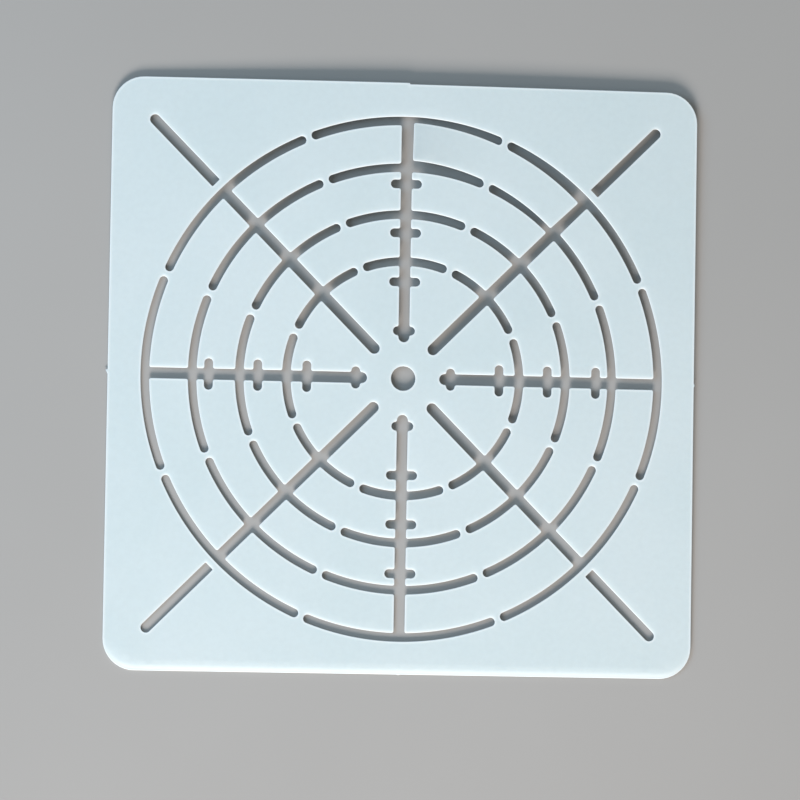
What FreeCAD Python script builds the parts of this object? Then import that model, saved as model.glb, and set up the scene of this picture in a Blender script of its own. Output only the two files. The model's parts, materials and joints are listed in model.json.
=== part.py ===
"""Square drawing template: broken rings, slotted spokes with cross ticks and corner slots, all cut
through one thin plastic sheet.

The frame has its origin at the centre of the round centre hole, on the underside. +Z is up through
the sheet. +X and +Y point at the middles of two sides, and a spoke slot lies on each of them.
"""
import FreeCAD, Part
import math
import os

import Sketcher

# alias, value in millimetres, meaning
DIMENSIONS = (
    ("sheet_side", 130.0, "side of the square sheet"),
    ("sheet_thickness", 0.3, "thickness of the sheet"),
    ("corner_radius", 7.0, "radius of the sheet's corners"),
    ("hole_diameter", 5.4, "round hole at the centre"),
    ("ring_start", 25.8, "radius of the innermost ring, to its centreline"),
    ("ring_spacing", 10.35, "from one ring's centreline to the next"),
    ("ring_width", 1.86, "width of each ring slot"),
    ("bridge_width", 1.37, "plastic left between the round ends of two arcs"),
    ("spoke_start", 9.2, "radius of the centre of a spoke slot's inner round end"),
    ("spoke_width", 2.38, "width of the spoke slots"),
    ("tick_start", 10.5, "radius of the innermost tick across a spoke"),
    ("tick_spacing", 10.8, "from one tick to the next along a spoke"),
    ("tick_width", 1.9, "width of each tick slot"),
    ("short_tick_reach", 1.46, "from the spoke's centreline to the innermost tick's end centre"),
    ("long_tick_reach", 2.47, "from the spoke's centreline to another tick's end centre"),
    ("corner_slot_start", 59.4, "radius of the square inner end of a corner slot"),
    ("corner_slot_end", 78.65, "radius of the centre of a corner slot's outer round end"),
    ("corner_slot_width", 2.24, "width of the corner slots"),
    ("seam_step", 0.3, "step in the outline where the cut of the edge began and ended"),
    ("left_stub", 0.5, "height of the broken holding tab on the left side"),
    ("right_stub", 0.2, "height of the broken holding tab on the right side"),
    ("front_stub", 0.15, "height of the broken holding tab on the front side"),
    ("stub_width", 0.9, "width of a broken holding tab where it leaves the edge"),
)

RINGS = 4
TICKS = 4
SECTORS = 8  # arcs in a ring, with a bridge between each and the next
SIDES = 4
DIAGONAL = 45.0
LABEL = "stencil_sheet"
PARTS_FOLDER = "parts"

Z = FreeCAD.Vector(0, 0, 1)
START, END, CENTRE = 1, 2, 3  # the points of a line or an arc in a sketch
X_AXIS = -1
ORIGIN = (X_AXIS, START)


def at(x, y):
    return FreeCAD.Vector(x, y, 0)


def make_spreadsheet(document):
    sheet = document.addObject("Spreadsheet::Sheet", "dimensions")
    for row, (alias, value, meaning) in enumerate(DIMENSIONS, start=1):
        sheet.set(f"A{row}", meaning)
        sheet.set(f"B{row}", str(value))
        sheet.setAlias(f"B{row}", alias)
    document.recompute()


def measure(sketch, expression):
    """The value in millimetres of an expression in the driving dimensions."""
    return float(sketch.evalExpression(expression))


def origin_feature(body, role):
    return next(feature for feature in body.Origin.OriginFeatures if feature.Role == role)


def new_sketch(body, name, turn=0.0):
    """A sketch on the underside, turned about the centre of the sheet."""
    sketch = body.newObject("Sketcher::SketchObject", name)
    sketch.AttachmentSupport = [(origin_feature(body, "XY_Plane"), "")]
    sketch.MapMode = "FlatFace"
    sketch.AttachmentOffset = FreeCAD.Placement(FreeCAD.Vector(), FreeCAD.Rotation(Z, turn))
    return sketch


def add_line(sketch, start, end, construction=False):
    return sketch.addGeometry(Part.LineSegment(start, end), construction)


def add_arc(sketch, centre, radius, start_degrees, end_degrees):
    circle = Part.Circle(centre, Z, radius)
    start, end = math.radians(start_degrees), math.radians(end_degrees)
    return sketch.addGeometry(Part.ArcOfCircle(circle, start, end), False)


def constrain(sketch, *terms):
    return sketch.addConstraint(Sketcher.Constraint(*terms))


def dimension(sketch, name, expression, *terms):
    """Add a dimension that the spreadsheet drives."""
    index = constrain(sketch, *terms, measure(sketch, expression))
    sketch.renameConstraint(index, name)
    sketch.setExpression(f"Constraints.{name}", expression)


def ring_radius(ring):
    return f"(dimensions.ring_start + {ring} * dimensions.ring_spacing)"


def draw_sheet_outline(sketch):
    """A square with round corners, centred on the origin."""
    half = measure(sketch, "dimensions.sheet_side / 2")
    radius = measure(sketch, "dimensions.corner_radius")
    reach = half - radius
    lines = [
        add_line(sketch, at(-reach, -half), at(reach, -half)),
        add_line(sketch, at(half, -reach), at(half, reach)),
        add_line(sketch, at(reach, half), at(-reach, half)),
        add_line(sketch, at(-half, reach), at(-half, -reach)),
    ]
    corners = [
        add_arc(sketch, at(reach, -reach), radius, -90, 0),
        add_arc(sketch, at(reach, reach), radius, 0, 90),
        add_arc(sketch, at(-reach, reach), radius, 90, 180),
        add_arc(sketch, at(-reach, -reach), radius, 180, 270),
    ]
    for number, corner in enumerate(corners):
        constrain(sketch, "Tangent", lines[number], END, corner, START)
        constrain(sketch, "Tangent", corner, END, lines[(number + 1) % SIDES], START)
    for corner in corners[1:]:
        constrain(sketch, "Equal", corners[0], corner)
    for number, line in enumerate(lines):
        constrain(sketch, "Vertical" if number % 2 else "Horizontal", line)
    constrain(sketch, "Symmetric", corners[1], CENTRE, corners[3], CENTRE, *ORIGIN)
    constrain(sketch, "Equal", lines[0], lines[1])
    dimension(sketch, "corner", "dimensions.corner_radius", "Radius", corners[0])
    between_corners = ("DistanceX", corners[3], CENTRE, corners[1], CENTRE)
    side_less_corners = "dimensions.sheet_side - 2 * dimensions.corner_radius"
    dimension(sketch, "side", side_less_corners, *between_corners)


def draw_edge_mark(sketch, low, high, apex, height):
    """A thin triangle on the side at +X. low and high are the ends of its foot along Y, and apex is
    where its tip stands."""
    half = measure(sketch, "dimensions.sheet_side / 2")
    foot_low = at(half, measure(sketch, low))
    foot_high = at(half, measure(sketch, high))
    tip = at(half + measure(sketch, height), measure(sketch, apex))
    foot = add_line(sketch, foot_low, foot_high)
    back = add_line(sketch, foot_high, tip)
    front = add_line(sketch, tip, foot_low)
    for first, second in ((foot, back), (back, front), (front, foot)):
        constrain(sketch, "Coincident", first, END, second, START)
    constrain(sketch, "Vertical", foot)
    dimension(sketch, "edge", "dimensions.sheet_side / 2", "DistanceX", *ORIGIN, foot, START)
    dimension(sketch, "height", height, "DistanceX", foot, START, back, END)
    dimension(sketch, "low", low, "DistanceY", *ORIGIN, foot, START)
    dimension(sketch, "high", high, "DistanceY", *ORIGIN, foot, END)
    if apex == low:
        constrain(sketch, "Horizontal", front)
    else:
        constrain(sketch, "Equal", front, back)


def draw_centre_hole(sketch):
    radius = measure(sketch, "dimensions.hole_diameter / 2")
    hole = sketch.addGeometry(Part.Circle(at(0, 0), Z, radius), False)
    constrain(sketch, "Coincident", hole, CENTRE, *ORIGIN)
    dimension(sketch, "hole", "dimensions.hole_diameter", "Diameter", hole)


def draw_ring_arc(sketch, ring):
    """One arc of a ring, centred on +X. Its round ends stand half a bridge off the radial lines in
    the middle of the bridges."""
    radius = measure(sketch, ring_radius(ring))
    half_width = measure(sketch, "dimensions.ring_width / 2")
    end_offset = "(dimensions.bridge_width + dimensions.ring_width) / 2"
    bridge_angle = math.pi / SECTORS
    end_angle = bridge_angle - math.asin(measure(sketch, end_offset) / radius)
    end_degrees = math.degrees(end_angle)
    upper_centre = at(radius * math.cos(end_angle), radius * math.sin(end_angle))
    lower_centre = at(upper_centre.x, -upper_centre.y)

    outer = add_arc(sketch, at(0, 0), radius + half_width, -end_degrees, end_degrees)
    inner = add_arc(sketch, at(0, 0), radius - half_width, -end_degrees, end_degrees)
    upper = add_arc(sketch, upper_centre, half_width, end_degrees, end_degrees + 180)
    lower = add_arc(sketch, lower_centre, half_width, 180 - end_degrees, 360 - end_degrees)
    constrain(sketch, "Coincident", outer, CENTRE, *ORIGIN)
    constrain(sketch, "Coincident", inner, CENTRE, *ORIGIN)
    constrain(sketch, "Tangent", outer, END, upper, START)
    constrain(sketch, "Tangent", upper, END, inner, END)
    constrain(sketch, "Tangent", inner, START, lower, START)
    constrain(sketch, "Tangent", lower, END, outer, START)
    constrain(sketch, "Vertical", upper, CENTRE, lower, CENTRE)

    bridge_end = at(radius * math.cos(bridge_angle), radius * math.sin(bridge_angle))
    bridge_line = add_line(sketch, at(0, 0), bridge_end, construction=True)
    constrain(sketch, "Coincident", bridge_line, START, *ORIGIN)
    constrain(sketch, "PointOnObject", bridge_line, END, outer)
    constrain(sketch, "Angle", X_AXIS, START, bridge_line, START, bridge_angle)

    half_slot = "dimensions.ring_width / 2"
    dimension(sketch, "outer", f"{ring_radius(ring)} + {half_slot}", "Radius", outer)
    dimension(sketch, "inner", f"{ring_radius(ring)} - {half_slot}", "Radius", inner)
    dimension(sketch, "end_offset", end_offset, "Distance", upper, CENTRE, bridge_line)


def draw_slot(sketch, start, end, width, square_start=False):
    """A straight slot along +X, from start to end: the centres of its round ends, or the end itself
    where it is square."""
    left, right = measure(sketch, start), measure(sketch, end)
    half_width = measure(sketch, f"{width} / 2")
    upper = add_line(sketch, at(left, half_width), at(right, half_width))
    lower = add_line(sketch, at(left, -half_width), at(right, -half_width))
    far_end = add_arc(sketch, at(right, 0), half_width, -90, 90)
    constrain(sketch, "Horizontal", upper)
    constrain(sketch, "PointOnObject", far_end, CENTRE, X_AXIS)
    constrain(sketch, "Tangent", lower, END, far_end, START)
    constrain(sketch, "Tangent", far_end, END, upper, END)
    dimension(sketch, "half_width", f"{width} / 2", "Radius", far_end)
    dimension(sketch, "far_end", end, "DistanceX", *ORIGIN, far_end, CENTRE)
    if square_start:
        near_end = add_line(sketch, at(left, half_width), at(left, -half_width))
        constrain(sketch, "Coincident", near_end, START, upper, START)
        constrain(sketch, "Coincident", near_end, END, lower, START)
        constrain(sketch, "Vertical", near_end)
        constrain(sketch, "Horizontal", lower)
        dimension(sketch, "near_end", start, "DistanceX", *ORIGIN, near_end, START)
    else:
        near_end = add_arc(sketch, at(left, 0), half_width, 90, 270)
        constrain(sketch, "PointOnObject", near_end, CENTRE, X_AXIS)
        constrain(sketch, "Tangent", upper, START, near_end, START)
        constrain(sketch, "Tangent", near_end, END, lower, START)
        dimension(sketch, "near_end", start, "DistanceX", *ORIGIN, near_end, CENTRE)


def draw_tick(sketch, tick):
    """A short slot with round ends across the spoke at +X. The innermost tick is the shortest."""
    tick_radius = f"dimensions.tick_start + {tick} * dimensions.tick_spacing"
    tick_reach = "dimensions.long_tick_reach" if tick else "dimensions.short_tick_reach"
    radius = measure(sketch, tick_radius)
    reach = measure(sketch, tick_reach)
    half_width = measure(sketch, "dimensions.tick_width / 2")
    outer = add_line(sketch, at(radius + half_width, -reach), at(radius + half_width, reach))
    inner = add_line(sketch, at(radius - half_width, -reach), at(radius - half_width, reach))
    upper = add_arc(sketch, at(radius, reach), half_width, 0, 180)
    lower = add_arc(sketch, at(radius, -reach), half_width, 180, 360)
    constrain(sketch, "Vertical", outer)
    constrain(sketch, "Tangent", outer, END, upper, START)
    constrain(sketch, "Tangent", upper, END, inner, END)
    constrain(sketch, "Tangent", inner, START, lower, START)
    constrain(sketch, "Tangent", lower, END, outer, START)
    constrain(sketch, "Symmetric", upper, CENTRE, lower, CENTRE, X_AXIS)
    dimension(sketch, "half_width", "dimensions.tick_width / 2", "Radius", upper)
    dimension(sketch, "radius", tick_radius, "DistanceX", *ORIGIN, upper, CENTRE)
    dimension(sketch, "reach", tick_reach, "DistanceY", *ORIGIN, upper, CENTRE)


def pad(body, sketch):
    """Raise a sketch to the sheet's thickness."""
    feature = body.newObject("PartDesign::Pad", f"{sketch.Name}_pad")
    feature.Profile = sketch
    feature.setExpression("Length", "dimensions.sheet_thickness")
    body.Document.recompute()


def pocket(body, sketch):
    """Cut a sketch up through the sheet, and make sure that the cut took plastic away."""
    volume_before = body.Shape.Volume
    feature = body.newObject("PartDesign::Pocket", f"{sketch.Name}_cut")
    feature.Profile = sketch
    feature.Type = "ThroughAll"
    feature.Reversed = True
    body.Document.recompute()
    if not body.Shape.Volume < volume_before:
        raise RuntimeError(f"{feature.Name} cut nothing")
    return feature


def repeat_around(body, name, features, occurrences):
    """Repeat cuts evenly about the axis of the centre hole."""
    volume_before = body.Shape.Volume
    pattern = body.newObject("PartDesign::PolarPattern", name)
    pattern.Originals = features
    pattern.Axis = (origin_feature(body, "Z_Axis"), [""])
    pattern.Angle = 360
    pattern.Occurrences = occurrences
    body.Tip = pattern
    body.Document.recompute()
    if not body.Shape.Volume < volume_before:
        raise RuntimeError(f"{name} repeated nothing")


def add_edge_marks(body):
    """What cutting the sheet out left on its outline: a step at the back, where the cut began and
    ended, and a broken holding tab in the middle of each other side."""
    below, above = "-dimensions.stub_width / 2", "dimensions.stub_width / 2"
    straight_end = "dimensions.sheet_side / 2 - dimensions.corner_radius"
    marks = (
        ("back_seam", 90.0, below, straight_end, below, "dimensions.seam_step"),
        ("left_tab", 180.0, below, above, below, "dimensions.left_stub"),
        ("front_tab", 270.0, below, above, "0", "dimensions.front_stub"),
        ("right_tab", 0.0, below, above, "0", "dimensions.right_stub"),
    )
    for name, turn, low, high, apex, height in marks:
        sketch = new_sketch(body, name, turn)
        draw_edge_mark(sketch, low, high, apex, height)
        pad(body, sketch)


def cut_centre_hole(body):
    sketch = new_sketch(body, "centre_hole")
    draw_centre_hole(sketch)
    pocket(body, sketch)


def cut_rings(body):
    """Every ring has an arc on each spoke and on each diagonal."""
    cuts = []
    for ring in range(RINGS):
        sketch = new_sketch(body, f"ring_{ring + 1}")
        draw_ring_arc(sketch, ring)
        cuts.append(pocket(body, sketch))
    repeat_around(body, "ring_arcs", cuts, SECTORS)


def cut_straight_slots(body):
    """A spoke and a diagonal that end in the outer ring's slot, the ticks across the spoke, and a
    corner slot beyond the outer ring."""
    width_difference = "(dimensions.ring_width - dimensions.spoke_width) / 2"
    spoke_end = f"{ring_radius(RINGS - 1)} + {width_difference}"
    cuts = []
    for name, turn in (("spoke", 0.0), ("diagonal", DIAGONAL)):
        sketch = new_sketch(body, name, turn)
        draw_slot(sketch, "dimensions.spoke_start", spoke_end, "dimensions.spoke_width")
        cuts.append(pocket(body, sketch))
    for tick in range(TICKS):
        sketch = new_sketch(body, f"tick_{tick + 1}")
        draw_tick(sketch, tick)
        cuts.append(pocket(body, sketch))
    corner_ends = ("dimensions.corner_slot_start", "dimensions.corner_slot_end")
    sketch = new_sketch(body, "corner_slot", DIAGONAL)
    draw_slot(sketch, *corner_ends, "dimensions.corner_slot_width", square_start=True)
    cuts.append(pocket(body, sketch))
    repeat_around(body, "straight_slots", cuts, SIDES)


def make_stencil_sheet(document):
    body = document.addObject("PartDesign::Body", LABEL)
    body.Label = LABEL
    body.Placement = FreeCAD.Placement()
    outline = new_sketch(body, "outline")
    draw_sheet_outline(outline)
    pad(body, outline)
    add_edge_marks(body)
    cut_centre_hole(body)
    cut_rings(body)
    cut_straight_slots(body)
    return body


def check(document, body):
    """Stop if anything failed to compute, or if the sheet isn't one sound solid."""
    for item in document.Objects:
        if "Invalid" in item.State or "Error" in item.State:
            raise RuntimeError(f"{item.Name} is {item.State}")
        if item.isDerivedFrom("Sketcher::SketchObject") and not item.FullyConstrained:
            raise RuntimeError(f"{item.Name} isn't fully constrained")
    shape = body.Shape
    if shape.isNull() or not shape.isValid() or len(shape.Solids) != 1:
        raise RuntimeError(f"{body.Label} is not one sound solid")


def main():
    document = FreeCAD.newDocument("circle_template")
    make_spreadsheet(document)
    body = make_stencil_sheet(document)
    check(document, body)
    os.makedirs(PARTS_FOLDER, exist_ok=True)
    body.Shape.exportStep(os.path.join(PARTS_FOLDER, f"{body.Label}.step"))
    box = body.Shape.BoundBox
    print(f"{body.Label}: {box.XLength:.2f} x {box.YLength:.2f} x {box.ZLength:.2f} mm")
    print(f"volume {body.Shape.Volume:.1f} mm3, {len(body.Shape.Faces)} faces")


main()
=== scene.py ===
"""How the ring stencil looks: one thin sheet of satin plastic, a little sprung, with a soft rim round
every cut. It lies on a pale table in soft daylight from low in front.

Lengths are millimetres in the row's frame, and become metres where the sheet and the camera are
made. The lamps and the table are given in metres.
"""
import json
import math
import random

import bpy
from mathutils import Matrix, Vector, noise
from mathutils.geometry import delaunay_2d_cdt
from mathutils.kdtree import KDTree


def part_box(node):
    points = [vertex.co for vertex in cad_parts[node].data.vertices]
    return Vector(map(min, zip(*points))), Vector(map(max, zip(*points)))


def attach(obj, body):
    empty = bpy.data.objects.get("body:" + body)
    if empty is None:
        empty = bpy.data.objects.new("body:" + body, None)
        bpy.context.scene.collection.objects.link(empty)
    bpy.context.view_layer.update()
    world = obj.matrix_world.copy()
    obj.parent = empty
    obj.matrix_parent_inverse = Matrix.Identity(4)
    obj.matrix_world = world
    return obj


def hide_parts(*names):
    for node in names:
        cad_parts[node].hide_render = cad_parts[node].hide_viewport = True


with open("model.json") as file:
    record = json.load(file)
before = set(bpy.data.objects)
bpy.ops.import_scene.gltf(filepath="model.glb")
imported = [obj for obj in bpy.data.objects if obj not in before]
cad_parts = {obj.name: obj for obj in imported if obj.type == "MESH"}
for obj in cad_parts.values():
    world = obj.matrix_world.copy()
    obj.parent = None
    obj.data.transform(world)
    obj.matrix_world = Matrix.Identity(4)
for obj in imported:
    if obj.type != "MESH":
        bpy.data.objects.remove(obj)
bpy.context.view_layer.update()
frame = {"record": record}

MM = 0.001
NODE = "stencil_sheet"

# The sheet and its cuts, as in the CAD. A slot runs between the centres of its round ends, or to where
# it is cut square.
HALF_SIDE = 65.0
CORNER_RADIUS = 7.0
THICKNESS = (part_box(NODE)[1].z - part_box(NODE)[0].z) / MM
HOLE_RADIUS = next(m["dims"]["r_mm"] for m in frame["record"]["mounts"] if m["kind"] == "bore")
RING_RADII = [25.8 + 10.35 * ring for ring in range(4)]
RING_WIDTH = 1.86
BRIDGE_WIDTH = 1.37
SPOKE_START = 9.2
SPOKE_WIDTH = 2.38
TICK_RADII = [10.5 + 10.8 * tick for tick in range(4)]
TICK_REACHES = [1.46, 2.47, 2.47, 2.47]
TICK_WIDTH = 1.9
CORNER_SLOT = (59.4, 78.65)
CORNER_SLOT_WIDTH = 2.24
SEAM_STEP = 0.3
LEFT_STUB = 0.5
RIGHT_STUB = 0.2
FRONT_STUB = 0.15
HALF_STUB = 0.45
SIDES = 4
SECTORS = 8
SECTOR = 2 * math.pi / SECTORS

# How finely the mesh follows those shapes.
SPACING = 1.1
CAP_STEPS = 12
GRID = 1.5
MERGED = 1e-4
CROWDED = 0.09  # the least distance between neighbours on a loop
MITRE_LIMIT = 0.5  # a corner of an inset loop moves at most the distance over this
SHARP = math.radians(28)
LAND_CORNER = 0.42  # radius of a corner of plastic between two slots
SLOT_CORNER = 0.2
CORNER_STEPS = 5
CORNER_ROOM = 2.5  # a side is at least this many times as long as what a round corner takes of it

# Across a cut edge, from the underside round to the top: how far into the plastic from the cut, and
# the height as a share of the thickness. Cutting leaves the top edge slightly raised.
RIM = (
    (0.34, 0.0),
    (0.14, 0.0),
    (0.04, 0.08),
    (0.0, 0.3),
    (0.0, 0.66),
    (0.03, 0.9),
    (0.09, 1.04),
    (0.17, 1.07),
    (0.26, 1.01),
    (0.34, 1.0),
)
WALL_INSET = 0.1  # what lies less than this from the cut is the cut face
WHITE_INSET = 0.34  # how far past the rim the painted highlight along the cut fades out

# Painted highlight along the cut edges: how white their colour is made, from 0 to 1.
WALL_HIGHLIGHT = 1.0
RIM_HIGHLIGHT = 0.8
RIM_END_HIGHLIGHT = 0.5

# How the sheet is sprung: it touches the table near its front left corner, lies close to it along
# the front and left sides, and arches up behind and to the right.
# A growth is a share half-way back, and what is added to it at the back.
BOW = 1.1
BOW_GROWTH = (0.58, 0.42)
BACK_LIFT = 0.4
RIGHT_LIFT = 0.9
RIGHT_GROWTH = (0.65, 0.35)
HOVER = 0.3
WAVE = 0.07
WAVE_LENGTH = 34.0
FRONT = Vector((0.0, -1.0))
ROLL = 0.36  # how far its front sides curl down, and over what width
ROLL_WIDTH = 1.5
ROLL_ROWS = (0.35, 0.7, 1.0)  # rows of points that follow the outline, as shares of that width
# Painted highlight: how white the curled front sides, which face the window, are painted, from 0 to 1.
ROLL_HIGHLIGHT = 0.8
SLOT_ROLL = 0.1  # how far the front-facing side of a slot curls down
CELL_LIFT = 0.12
CELL_BEND = 1.5  # how sharply a cell bends up towards its ends
CELL_SEED = 7

# One cell between the slots has sprung: turned a little about its middle, between its two bridges,
# with the inner corner at its counter-clockwise end standing up.
SPRUNG_BAND = 2
SPRUNG_SECTOR = 1
SPRUNG_LIFT = 1.6
SPRUNG_TAPER = 0.85  # the share of that lift which is lost towards the cell's outer side
SPRUNG_TURN = -0.03

# Where a Mix node keeps the sockets that it uses for colours.
MIX_SHARE, MIX_FIRST, MIX_SECOND, MIX_RESULT = 0, 6, 7, 2

# Noise in the materials, as its scale per metre.
CLOUDS = 26.0
MOTTLE = 850.0
SATIN = 60.0
GRAIN = 3200.0
TABLE_CLOUDS = 9.0

# Between which values noise is stretched, and between which it then sets the tone or the roughness.
NOISE_RANGE = (0.3, 0.7)
CLOUD_RANGE = (0.35, 0.65)
STREAK_RANGE = (0.78, 0.84)
TONES = (0.985, 1.012)
ROUGHNESS = (0.36, 0.46)

HIGHLIGHT_SHARE = 0.6  # how much of the painted highlight colour shows where the highlight is 1
ROUGHER = 0.12  # what a scratch or a cut edge adds to the roughness
SCRATCH_DEPTH = 0.8  # as a share of the grain's height

# Hairline scratches: direction in radians, length and width in millimetres.
SCRATCHES = ((0.4, 38.0, 0.35), (1.9, 30.0, 0.3), (2.7, 45.0, 0.4))

PLASTIC_COLOURS = (0.635, 0.745, 0.775), (0.665, 0.765, 0.795)
# Painted highlight: the near-white colour put along the cut edges and the curled front sides.
HIGHLIGHT_COLOUR = (0.86, 0.93, 0.96)
TABLE_COLOURS = (0.395, 0.39, 0.38), (0.415, 0.41, 0.40)
# Painted light: the table's colour far from the sheet, where the lamps don't reach.
FAR_TABLE_PAINTED_LIGHT = (0.85, 0.85, 0.84)
WINDOW_COLOUR = (1.0, 0.91, 0.86)
SKY_COLOUR = (0.48, 0.75, 1.0)
ROOM_COLOUR = (0.97, 1.0, 0.98, 1.0)

LAMP_SPREAD = math.radians(70)

# The camera's lens, its place, what it looks at, and how far its top is turned from +Y towards +X.
LENS = 225.0
CAMERA_PLACE = Vector((-145.3, -76.0, 1088.0))
CAMERA_AIM = Vector((-0.46, -4.68, 0.0))
CAMERA_TURN = math.radians(-0.876)


def rotated(points, angle):
    """Points in the plane, turned about the origin by an angle in radians."""
    cosine, sine = math.cos(angle), math.sin(angle)
    return [Vector((x * cosine - y * sine, x * sine + y * cosine)) for x, y in points]


def arc(centre, radius, start, end):
    """Points on an arc from angle start to angle end, in radians, with both ends."""
    steps = max(round(radius * abs(end - start) / SPACING), round(CAP_STEPS * abs(end - start) / math.pi))
    angles = [start + (end - start) * step / steps for step in range(steps + 1)]
    return [Vector((centre[0] + radius * math.cos(a), centre[1] + radius * math.sin(a))) for a in angles]


def divided(corners):
    """A closed outline through these points, with its long sides divided."""
    points = []
    for start, end in zip(corners, corners[1:] + corners[:1]):
        length = (end - start).length
        if length < MERGED:
            continue
        steps = math.ceil(length / SPACING)
        points.extend(start.lerp(end, step / steps) for step in range(steps))
    return points


def sheet_outline():
    """The square with round corners, and on its sides what cutting it out left: a step at the back,
    and the stub of a holding tab in the middle of each other side."""
    reach = HALF_SIDE - CORNER_RADIUS
    sides = (
        ((0, -HALF_STUB), (RIGHT_STUB, 0), (0, HALF_STUB)),
        ((0, -HALF_STUB), (SEAM_STEP, -HALF_STUB)),
        ((0, -HALF_STUB), (LEFT_STUB, -HALF_STUB), (0, HALF_STUB)),
        ((0, -HALF_STUB), (FRONT_STUB, 0), (0, HALF_STUB)),
    )
    points = []
    for number, marks in enumerate(sides):
        side = [Vector((HALF_SIDE + height, along)) for height, along in marks]
        side += arc((reach, reach), CORNER_RADIUS, 0, math.pi / 2)
        points.extend(rotated(side, number * math.pi / 2))
    return divided(points)


def straight_slot(start, end, width, square_start=False, square_end=False):
    """A slot along +X."""
    half = width / 2
    right = [Vector((end, -half)), Vector((end, half))]
    left = [Vector((start, half)), Vector((start, -half))]
    if not square_end:
        right = arc((end, 0), half, -math.pi / 2, math.pi / 2)
    if not square_start:
        left = arc((start, 0), half, math.pi / 2, 3 * math.pi / 2)
    return divided(right + left)


def ring_slot(radius):
    """One arc of a ring, centred on +X. Its ends are half a bridge short of half-way to the next
    spokes."""
    half = RING_WIDTH / 2
    end = SECTOR / 2 - math.asin((BRIDGE_WIDTH + RING_WIDTH) / 2 / radius)
    upper = radius * math.cos(end), radius * math.sin(end)
    lower = upper[0], -upper[1]
    points = arc((0, 0), radius + half, -end, end)
    points += arc(upper, half, end, end + math.pi)
    points += arc((0, 0), radius - half, end, -end)
    points += arc(lower, half, math.pi - end, 2 * math.pi - end)
    return divided(points)


def tick_slot(radius, reach):
    """A short slot across the spoke on +X."""
    upright = rotated(straight_slot(-reach, reach, TICK_WIDTH), math.pi / 2)
    return [point + Vector((radius, 0)) for point in upright]


def cuts():
    """Every slot and the centre hole, each as its own closed outline."""
    outer_ring = RING_RADII[-1]
    spoke = straight_slot(SPOKE_START, outer_ring, SPOKE_WIDTH, square_end=True)
    corner_slot = straight_slot(*CORNER_SLOT, CORNER_SLOT_WIDTH, square_start=True)
    on_spoke = [spoke] + [tick_slot(*tick) for tick in zip(TICK_RADII, TICK_REACHES)]
    on_diagonal = [rotated(shape, SECTOR) for shape in (spoke, corner_slot)]
    shapes = [divided(arc((0, 0), HOLE_RADIUS, 0, 2 * math.pi))]
    for side in range(SIDES):
        turn = side * 2 * math.pi / SIDES
        shapes.extend(rotated(shape, turn) for shape in on_spoke + on_diagonal)
    for sector in range(SECTORS):
        shapes.extend(rotated(ring_slot(radius), sector * SECTOR) for radius in RING_RADII)
    return shapes


def area(loop):
    """The area inside a closed outline, negative where it runs clockwise."""
    return sum(loop[i - 1].x * loop[i].y - loop[i - 1].y * loop[i].x for i in range(len(loop))) / 2


def plastic_between(outline, holes, loose_points=()):
    """What is inside an outline and in none of the holes, as points and triangles, and where each
    point of the outline and the holes is among those points. Holes that cross make one hole."""
    given, spans, turned = [], [], []
    for polygon in (outline, *holes):
        span = list(range(len(given), len(given) + len(polygon)))
        spans.append(span)
        turned.append(span if area(polygon) > 0 else span[::-1])
        given.extend(polygon)
    given.extend(loose_points)
    inside_only = 1
    points, _, faces, sources, _, parents = delaunay_2d_cdt(given, [], turned, inside_only, MERGED)
    triangles = [list(face) for face, parent in zip(faces, parents) if list(parent) == [0]]
    place = {source: index for index, origins in enumerate(sources) for source in origins}
    return points, triangles, [[place[index] for index in span] for span in spans]


def boundary_loops(points, triangles):
    """The closed outlines round some triangles, with the plastic on the left."""
    edges = [(face[i - 1], face[i]) for face in triangles for i in range(3)]
    known = set(edges)
    following = {start: end for start, end in edges if (end, start) not in known}
    loops = []
    while following:
        start, here = following.popitem()
        loop = [points[start]]
        while here != start:
            loop.append(points[here])
            here = following.pop(here)
        loops.append(loop)
    return loops


def turn_at(loop, index):
    """The angle by which a loop turns left at one of its points."""
    here = loop[index]
    before = here - loop[index - 1]
    after = loop[(index + 1) % len(loop)] - here
    return math.atan2(before.x * after.y - before.y * after.x, before.dot(after))


def shortened(path, length):
    """A path without its first stretch of that length."""
    for index in range(1, len(path)):
        step = (path[index] - path[index - 1]).length
        if step > length:
            return [path[index - 1].lerp(path[index], length / step)] + path[index:]
        length -= step
    return path[-1:]


def path_length(path):
    return sum((end - start).length for start, end in zip(path, path[1:]))


def rounded(loop):
    """A loop with its sharp corners rounded, apart from those of marks too small to round."""
    corners = [index for index in range(len(loop)) if abs(turn_at(loop, index)) > SHARP]
    if not corners:
        return loop
    turns = [turn_at(loop, index) for index in corners]
    ends = corners[1:] + [corners[0] + len(loop)]
    doubled = loop + loop + loop[:1]
    stretches = [doubled[start : end + 1] for start, end in zip(corners, ends)]
    cut = []
    for number, turn in enumerate(turns):
        radius = LAND_CORNER if turn > 0 else SLOT_CORNER
        wanted = radius * math.tan(abs(turn) / 2)
        shorter = min(path_length(stretches[number]), path_length(stretches[number - 1]))
        room = shorter / CORNER_ROOM
        cut.append(wanted if wanted < room else 0.0)
    result = []
    for number, stretch in enumerate(stretches):
        after = cut[(number + 1) % len(cut)]
        kept = shortened(stretch, cut[number]) if cut[number] else stretch
        kept = shortened(kept[::-1], after)[::-1] if after else kept[:-1]
        result.extend(kept)
        if after:
            corner = stretch[-1]
            following = shortened(stretches[(number + 1) % len(stretches)], after)[0]
            result.extend(curve(kept[-1], corner, following))
    return result


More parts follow.
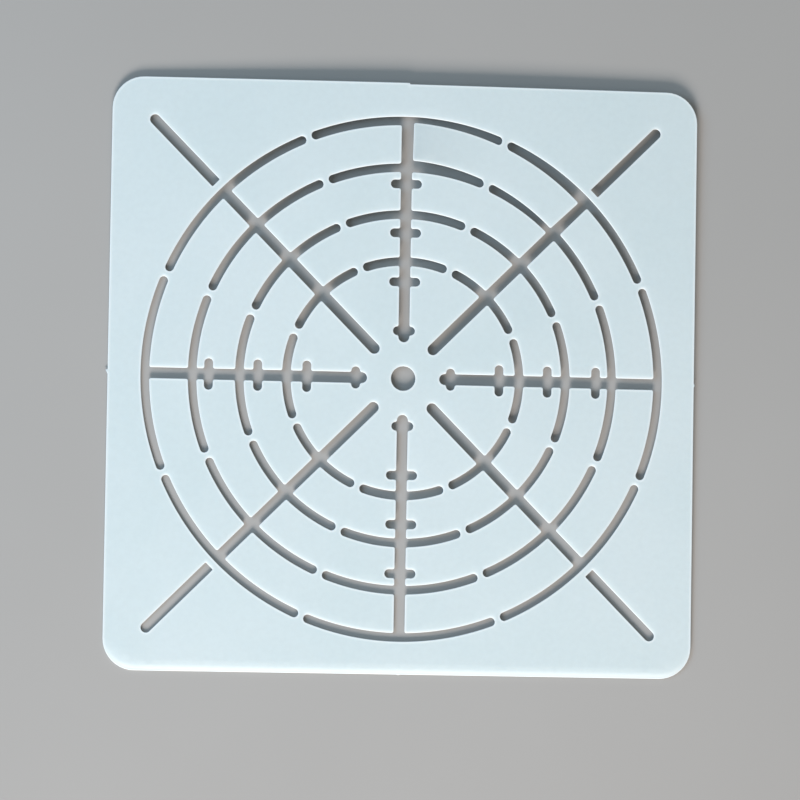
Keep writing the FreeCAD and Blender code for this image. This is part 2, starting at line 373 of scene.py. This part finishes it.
def curve(start, corner, end):
    """Points on the arc that leaves a corner's sides at start and end, without those two."""
    middle = (start + end) / 2
    to_middle = middle - corner
    centre = corner + to_middle * (start - corner).length_squared / to_middle.length_squared
    first, last = start - centre, end - centre
    turn = math.atan2(first.x * last.y - first.y * last.x, first.dot(last))
    angles = [turn * step / CORNER_STEPS for step in range(1, CORNER_STEPS)]
    return [centre + rotated([first], angle)[0] for angle in angles]


def without_crowding(loop, least=CROWDED):
    """A loop without points that nearly touch the one before."""
    kept = [loop[0]]
    for point in loop[1:]:
        if (point - kept[-1]).length > least:
            kept.append(point)
    while (kept[0] - kept[-1]).length <= least:
        kept.pop()
    return kept


def inset(loop, distance):
    """The loop moved into the plastic by a distance."""
    moved = []
    for index, here in enumerate(loop):
        before = (here - loop[index - 1]).normalized()
        after = (loop[(index + 1) % len(loop)] - here).normalized()
        left = Vector((-before.y, before.x))
        middle = (left + Vector((-after.y, after.x))).normalized()
        moved.append(here + middle * distance / max(middle.dot(left), MITRE_LIMIT))
    return moved


def nearness(points):
    """A search tree over some points in the plane."""
    tree = KDTree(len(points))
    for number, point in enumerate(points):
        tree.insert((point.x, point.y, 0), number)
    tree.balance()
    return tree


def clear_of(points, others, gap):
    """The points that are at least a gap from the others."""
    tree = nearness(others)
    return [point for point in points if tree.find((point.x, point.y, 0))[2] > gap]


def fringe_points(loops):
    """A row of points along every loop where the painted highlight along the cuts ends."""
    least_step = 0.5 * WHITE_INSET
    least_gap = 0.75 * WHITE_INSET
    fringe = []
    for loop in loops:
        fringe.extend(without_crowding(inset(loop, WHITE_INSET), least_step))
    return clear_of(fringe, [point for loop in loops for point in loop], least_gap)


def grid_points(loops, fringe):
    """Points spread evenly over the sheet, clear of the loops and their fringe, and rows that follow
    its outline."""
    loop_gap = 0.5
    edge_gap = 0.3
    row_slack = 0.05
    spread = []
    row_height = GRID * math.sqrt(3) / 2
    rows = int(HALF_SIDE / row_height)
    columns = int(HALF_SIDE / GRID)
    for row in range(-rows, rows + 1):
        shift = GRID / 2 * (row % 2)
        places = (GRID * column + shift for column in range(-columns, columns + 1))
        spread.extend(Vector((place, row_height * row)) for place in places)
    outline = max(loops, key=path_length)
    for share in ROLL_ROWS:
        spread.extend(inset(outline, share * ROLL_WIDTH))
    kept = []
    for point in spread:
        in_grid = edge_distance(point) > ROLL_WIDTH + GRID / 2
        in_row = edge_gap < edge_distance(point) <= ROLL_WIDTH + row_slack
        if in_grid or in_row:
            kept.append(point)
    return clear_of(kept, fringe + [point for loop in loops for point in loop], loop_gap)


def edge_distance(point):
    """How far a point is inside the sheet's outline."""
    reach = HALF_SIDE - CORNER_RADIUS
    past = Vector((max(abs(point.x) - reach, 0), max(abs(point.y) - reach, 0)))
    if past.length:
        return CORNER_RADIUS - past.length
    return CORNER_RADIUS + reach - max(abs(point.x), abs(point.y))


def outward(point):
    """The direction from a point near the outline to the outline."""
    reach = HALF_SIDE - CORNER_RADIUS
    past = Vector((max(abs(point.x) - reach, 0), max(abs(point.y) - reach, 0)))
    if not past.length:
        past = Vector((1, 0)) if abs(point.x) > abs(point.y) else Vector((0, 1))
    return Vector((math.copysign(past.x, point.x), math.copysign(past.y, point.y))).normalized()


def smooth(share):
    """From 0 to 1 with no kink at either end."""
    share = min(max(share, 0.0), 1.0)
    return share * share * (3 - 2 * share)


def make_cell_lifts():
    """How far the two ends of each cell between the slots stand up, clockwise end first."""
    draw = random.Random(CELL_SEED)
    lifts = {}
    for band in range(-1, len(RING_RADII) - 1):
        for sector in range(SECTORS):
            lifts[band, sector] = [draw.gauss(0, CELL_LIFT), draw.gauss(0, CELL_LIFT)]
    return lifts


CELL_LIFTS = make_cell_lifts()


def cell_at(point):
    """The band and sector of a point, how firmly it moves with its cell, and where it is across the
    cell, from -1 to 1."""
    radius = point.length
    angle = math.atan2(point.y, point.x) % (2 * math.pi)
    sector = min(int(angle / SECTOR), SECTORS - 1)
    from_middle = angle - (sector + 0.5) * SECTOR
    across = math.sin(from_middle) / math.sin(SECTOR / 2)
    nearest = min(RING_RADII, key=lambda ring: abs(ring - radius))
    firm = smooth(abs(radius - nearest) / (RING_WIDTH / 2))
    band = sum(ring < radius for ring in RING_RADII) - 1
    if band < 0:
        firm *= smooth((radius - SPOKE_START) / (RING_RADII[0] - SPOKE_START))
    return band, sector, firm, across


def rolled(point):
    """How far a point is round the curled front sides, from 0 to 1."""
    facing = max(outward(point).dot(FRONT), 0)
    return facing * (1 - smooth(edge_distance(point) / ROLL_WIDTH))


def grown(growth, v):
    """A growth's share at a place from the front, -1, to the back, 1."""
    half_way, added = growth
    return half_way + added * v


def lift_at(point):
    """How high the sheet's underside is over the table."""
    u, v = point.x / HALF_SIDE, point.y / HALF_SIDE
    height = HOVER + BOW * (1 - u * u) * grown(BOW_GROWTH, v) + BACK_LIFT * ((1 + v) / 2) ** 3
    height += RIGHT_LIFT * ((1 + u) / 2) ** 2 * grown(RIGHT_GROWTH, v)
    place = Vector((point.x, point.y, 0)) / WAVE_LENGTH
    height += WAVE * noise.noise(place) - ROLL * rolled(point)
    band, sector, firm, across = cell_at(point)
    if (band, sector) in CELL_LIFTS:
        end_lift = CELL_LIFTS[band, sector][across > 0]
        if (band, sector) == (SPRUNG_BAND, SPRUNG_SECTOR) and across > 0:
            inner, outer = RING_RADII[band : band + 2]
            outward_share = (point.length - inner) / (outer - inner)
            end_lift = SPRUNG_LIFT * (1 - SPRUNG_TAPER * outward_share)
        height += firm * end_lift * abs(across) ** CELL_BEND
    return max(height, 0.0)


def shifted(point):
    """Where a point of the flat sheet is in the plane: the sprung cell is turned a little."""
    band, sector, firm, _ = cell_at(point)
    if (band, sector) != (SPRUNG_BAND, SPRUNG_SECTOR):
        return point
    middle_radius = (RING_RADII[band] + RING_RADII[band + 1]) / 2
    middle_angle = (sector + 0.5) * SECTOR
    pivot = Vector((math.cos(middle_angle), math.sin(middle_angle))) * middle_radius
    return pivot + rotated([point - pivot], SPRUNG_TURN * firm)[0]


def curl(vertices, rows, loop):
    """Bends the rows round a slot down where its side faces the front."""
    reach = RIM[-1][0] + WHITE_INSET
    edges = zip(loop, inset(loop, RIM[-1][0]))
    facing = [max((edge - inner).normalized().dot(FRONT), 0) for edge, inner in edges]
    for row, (distance, _) in zip(rows, RIM):
        drop = SLOT_ROLL * (1 - smooth(distance / reach))
        for index, share in zip(row, facing):
            x, y, z = vertices[index]
            vertices[index] = (x, y, max(z - drop * share * MM, 0.0))


def sheet_mesh():
    """The sheet as one closed mesh: rows round every cut edge, and the same triangles above and
    below."""
    points, triangles, _ = plastic_between(sheet_outline(), cuts())
    loops = [without_crowding(rounded(loop)) for loop in boundary_loops(points, triangles)]
    loops.sort(key=path_length, reverse=True)
    inner = [inset(loop, RIM[-1][0]) for loop in loops]
    fringe = fringe_points(inner)
    loose_points = fringe + grid_points(inner, fringe)
    points, triangles, joins = plastic_between(inner[0], inner[1:], loose_points)
    used = sorted({index for face in triangles for index in face})
    vertices, highlight_shares = [], []

    def add(flat, share, cut):
        place = shifted(flat)
        vertices.append((place.x * MM, place.y * MM, (lift_at(flat) + share * THICKNESS) * MM))
        # Painted highlight: whiter along the cut edges and along the curled front sides, which face the
        # window.
        highlight_shares.append(max(cut, ROLL_HIGHLIGHT * rolled(flat)))
        return len(vertices) - 1

    on_rim = {index for joined in joins for index in joined}
    # Painted highlight: the points on the rims get part of the highlight along the cuts.
    end_highlights = {index: RIM_END_HIGHLIGHT * (index in on_rim) for index in used}
    top = {index: add(points[index], 1.0, end_highlights[index]) for index in used}
    bottom = {index: add(points[index], 0.0, end_highlights[index]) for index in used}
    faces = [[top[index] for index in face] for face in triangles]
    faces += [[bottom[index] for index in reversed(face)] for face in triangles]
    for loop, joined in zip(loops, joins):
        rows = [[bottom[index] for index in joined]]
        for distance, share in RIM[1:-1]:
            # Painted highlight: the cut face and the rim round it are painted whiter.
            cut = WALL_HIGHLIGHT if distance < WALL_INSET else RIM_HIGHLIGHT
            rows.append([add(point, share, cut) for point in inset(loop, distance)])
        rows.append([top[index] for index in joined])
        if loop is not loops[0]:
            curl(vertices, rows, loop)
        for lower, upper in zip(rows, rows[1:]):
            for here in range(len(loop)):
                before = here - 1
                faces.append((lower[before], lower[here], upper[here], upper[before]))
    return vertices, faces, highlight_shares


def make_sheet():
    """The sheet as an object, with its painted highlight along the edges as an attribute."""
    vertices, faces, highlight_shares = sheet_mesh()
    mesh = bpy.data.meshes.new("plastic_sheet")
    mesh.from_pydata(vertices, [], faces)
    mesh.validate()
    attribute = mesh.attributes.new("edge_highlight", "FLOAT", "POINT")
    attribute.data.foreach_set("value", highlight_shares)
    mesh.shade_smooth()
    sheet = bpy.data.objects.new("plastic_sheet", mesh)
    bpy.context.scene.collection.objects.link(sheet)
    return sheet


def add_node(material, kind, **settings):
    """A node with some of its sockets or properties set."""
    node = material.node_tree.nodes.new(kind)
    for name, value in settings.items():
        if name in node.inputs:
            node.inputs[name].default_value = value
        else:
            setattr(node, name, value)
    return node


def noise_node(material, place, scale, detail=2.0):
    node = add_node(material, "ShaderNodeTexNoise", Scale=scale, Detail=detail)
    material.node_tree.links.new(place, node.inputs["Vector"])
    return node.outputs["Fac"]


def ranged(material, value, low, high, to_low=0.0, to_high=1.0):
    """A value stretched from one range to another, and held at that range's ends."""
    node = add_node(material, "ShaderNodeMapRange")
    for name, number in (("From Min", low), ("From Max", high), ("To Min", to_low), ("To Max", to_high)):
        node.inputs[name].default_value = number
    material.node_tree.links.new(value, node.inputs["Value"])
    return node.outputs["Result"]


def combined(material, operation, first, second):
    """Arithmetic on two values, each a socket or a number."""
    node = add_node(material, "ShaderNodeMath", operation=operation)
    for socket, value in zip(node.inputs, (first, second)):
        if isinstance(value, float):
            socket.default_value = value
        else:
            material.node_tree.links.new(value, socket)
    return node.outputs["Value"]


def mixed(material, share, first, second):
    """A colour between two others, each a socket or three numbers."""
    node = add_node(material, "ShaderNodeMix", data_type="RGBA")
    links = material.node_tree.links
    links.new(share, node.inputs[MIX_SHARE])
    for number, value in ((MIX_FIRST, first), (MIX_SECOND, second)):
        if isinstance(value, tuple):
            node.inputs[number].default_value = (*value, 1.0)
        else:
            links.new(value, node.inputs[number])
    return node.outputs[MIX_RESULT]


def new_material(name):
    """A material, its shader and the coordinates that its noise follows."""
    material = bpy.data.materials.new(name)
    material.use_nodes = True
    shader = material.node_tree.nodes["Principled BSDF"]
    coordinates = add_node(material, "ShaderNodeTexCoord")
    return material, shader, coordinates.outputs["Object"]


def scratches(material, place, angle, length, width):
    """Hairline scratches along one direction: noise drawn out along it, cut down to thin streaks."""
    mapping = add_node(material, "ShaderNodeMapping", vector_type="TEXTURE")
    mapping.inputs["Rotation"].default_value = (0, 0, angle)
    mapping.inputs["Scale"].default_value = (length * MM, width * MM, 1)
    material.node_tree.links.new(place, mapping.inputs["Vector"])
    streaks = noise_node(material, mapping.outputs["Vector"], 1.0, detail=0.0)
    return ranged(material, streaks, *STREAK_RANGE)


def sheet_material():
    """Pale blue-white opaque plastic with a satin surface: faintly clouded, finely grained, with
    hairline scratches, and whiter and rougher along its cut edges and curled front sides, where the
    whiteness is a painted highlight."""
    material, shader, place = new_material("satin_sheet_plastic")
    links = material.node_tree.links
    clouds = ranged(material, noise_node(material, place, CLOUDS, detail=3.0), *CLOUD_RANGE)
    base = mixed(material, clouds, *PLASTIC_COLOURS)
    mottle = ranged(material, noise_node(material, place, MOTTLE), *NOISE_RANGE, *TONES)
    tone = add_node(material, "ShaderNodeHueSaturation")
    links.new(mottle, tone.inputs["Value"])
    links.new(base, tone.inputs["Color"])
    # Painted highlight: the colour is mixed towards near-white along the cut edges and the curled front
    # sides.
    edge_highlight = add_node(material, "ShaderNodeAttribute", attribute_name="edge_highlight").outputs["Fac"]
    highlighted = combined(material, "MULTIPLY", edge_highlight, HIGHLIGHT_SHARE)
    colour = mixed(material, highlighted, tone.outputs["Color"], HIGHLIGHT_COLOUR)
    links.new(colour, shader.inputs["Base Color"])

    marks = None
    for angle, length, width in SCRATCHES:
        streaks = scratches(material, place, angle, length, width)
        marks = streaks if marks is None else combined(material, "MAXIMUM", marks, streaks)
    satin = ranged(material, noise_node(material, place, SATIN, detail=4.0), *NOISE_RANGE, *ROUGHNESS)
    scuffed = combined(material, "MULTIPLY", marks, ROUGHER)
    frosted = combined(material, "MULTIPLY", edge_highlight, ROUGHER)
    roughness = combined(material, "ADD", combined(material, "ADD", satin, scuffed), frosted)
    links.new(roughness, shader.inputs["Roughness"])

    grain = noise_node(material, place, GRAIN, detail=1.0)
    relief = combined(material, "SUBTRACT", grain, combined(material, "MULTIPLY", marks, SCRATCH_DEPTH))
    bump = add_node(material, "ShaderNodeBump", Strength=0.25, Distance=0.02 * MM)
    links.new(relief, bump.inputs["Height"])
    links.new(bump.outputs["Normal"], shader.inputs["Normal"])
    shader.inputs["IOR"].default_value = 1.49
    shader.inputs["Subsurface Weight"].default_value = 0.2
    shader.inputs["Subsurface Radius"].default_value = (0.9, 1.0, 1.1)
    shader.inputs["Subsurface Scale"].default_value = 0.4 * MM
    return material


def make_floor():
    """A plain pale matt table. Its colour grows paler with distance from the sheet as painted light,
    where the lamps don't reach, so that low views have a soft horizon."""
    half = 6.0
    clearance = 0.01 * MM
    fade_start, fade_end = 0.3, 1.4
    mesh = bpy.data.meshes.new("table")
    corners = [(-half, -half, 0), (half, -half, 0), (half, half, 0), (-half, half, 0)]
    mesh.from_pydata(corners, [], [(0, 1, 2, 3)])
    floor = bpy.data.objects.new("table", mesh)
    bpy.context.scene.collection.objects.link(floor)
    floor.location.z = -clearance
    material, shader, place = new_material("pale_table")
    shade = ranged(material, noise_node(material, place, TABLE_CLOUDS, detail=4.0), *NOISE_RANGE)
    near = mixed(material, shade, *TABLE_COLOURS)
    # Painted light: the table is painted paler with distance, where the lamps don't light it.
    distance = add_node(material, "ShaderNodeVectorMath", operation="LENGTH")
    material.node_tree.links.new(place, distance.inputs[0])
    fade = ranged(material, distance.outputs["Value"], fade_start, fade_end)
    colour = mixed(material, fade, near, FAR_TABLE_PAINTED_LIGHT)
    material.node_tree.links.new(colour, shader.inputs["Base Color"])
    shader.inputs["Roughness"].default_value = 0.75
    mesh.materials.append(material)


def make_light(name, place, size, power, colour):
    """A rectangular lamp with a grid, facing the origin."""
    lamp = bpy.data.lights.new(name, "AREA")
    lamp.spread = LAMP_SPREAD
    lamp.shape = "RECTANGLE"
    lamp.size, lamp.size_y = size
    lamp.energy = power
    lamp.color = colour
    light = bpy.data.objects.new(name, lamp)
    light.location = place
    light.rotation_euler = (-Vector(place)).to_track_quat("-Z", "Y").to_euler()
    bpy.context.scene.collection.objects.link(light)


def make_lights():
    """A window low in front, a faint sky light on the left, and a pale room. The lamps have a grid,
    which keeps them off the table beneath them."""
    make_light("window", (-0.16, -0.91, 0.55), size=(0.55, 0.4), power=2.35, colour=WINDOW_COLOUR)
    make_light("sky", (-0.5, 0.1, 0.45), size=(0.5, 0.4), power=0.4, colour=SKY_COLOUR)
    world = bpy.data.worlds.new("room")
    world.use_nodes = True
    background = world.node_tree.nodes["Background"]
    background.inputs["Color"].default_value = ROOM_COLOUR
    background.inputs["Strength"].default_value = 0.31
    bpy.context.scene.world = world


def make_camera():
    """Nearly overhead and turned a little, as a hand-held camera looks down."""
    lens = bpy.data.cameras.new("camera")
    lens.lens = LENS
    lens.clip_start = 0.01
    camera = bpy.data.objects.new("camera", lens)
    back = (CAMERA_PLACE - CAMERA_AIM).normalized()
    top = Vector((math.sin(CAMERA_TURN), math.cos(CAMERA_TURN), 0))
    right = top.cross(back).normalized()
    axes = Matrix((right, back.cross(right), back)).transposed()
    camera.matrix_world = Matrix.Translation(CAMERA_PLACE * MM) @ axes.to_4x4()
    bpy.context.scene.collection.objects.link(camera)
    bpy.context.scene.camera = camera


sheet = make_sheet()
sheet.data.materials.append(sheet_material())
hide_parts(NODE)
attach(sheet, "root")
make_floor()
make_lights()
make_camera()
bpy.context.scene.view_settings.view_transform = "Standard"
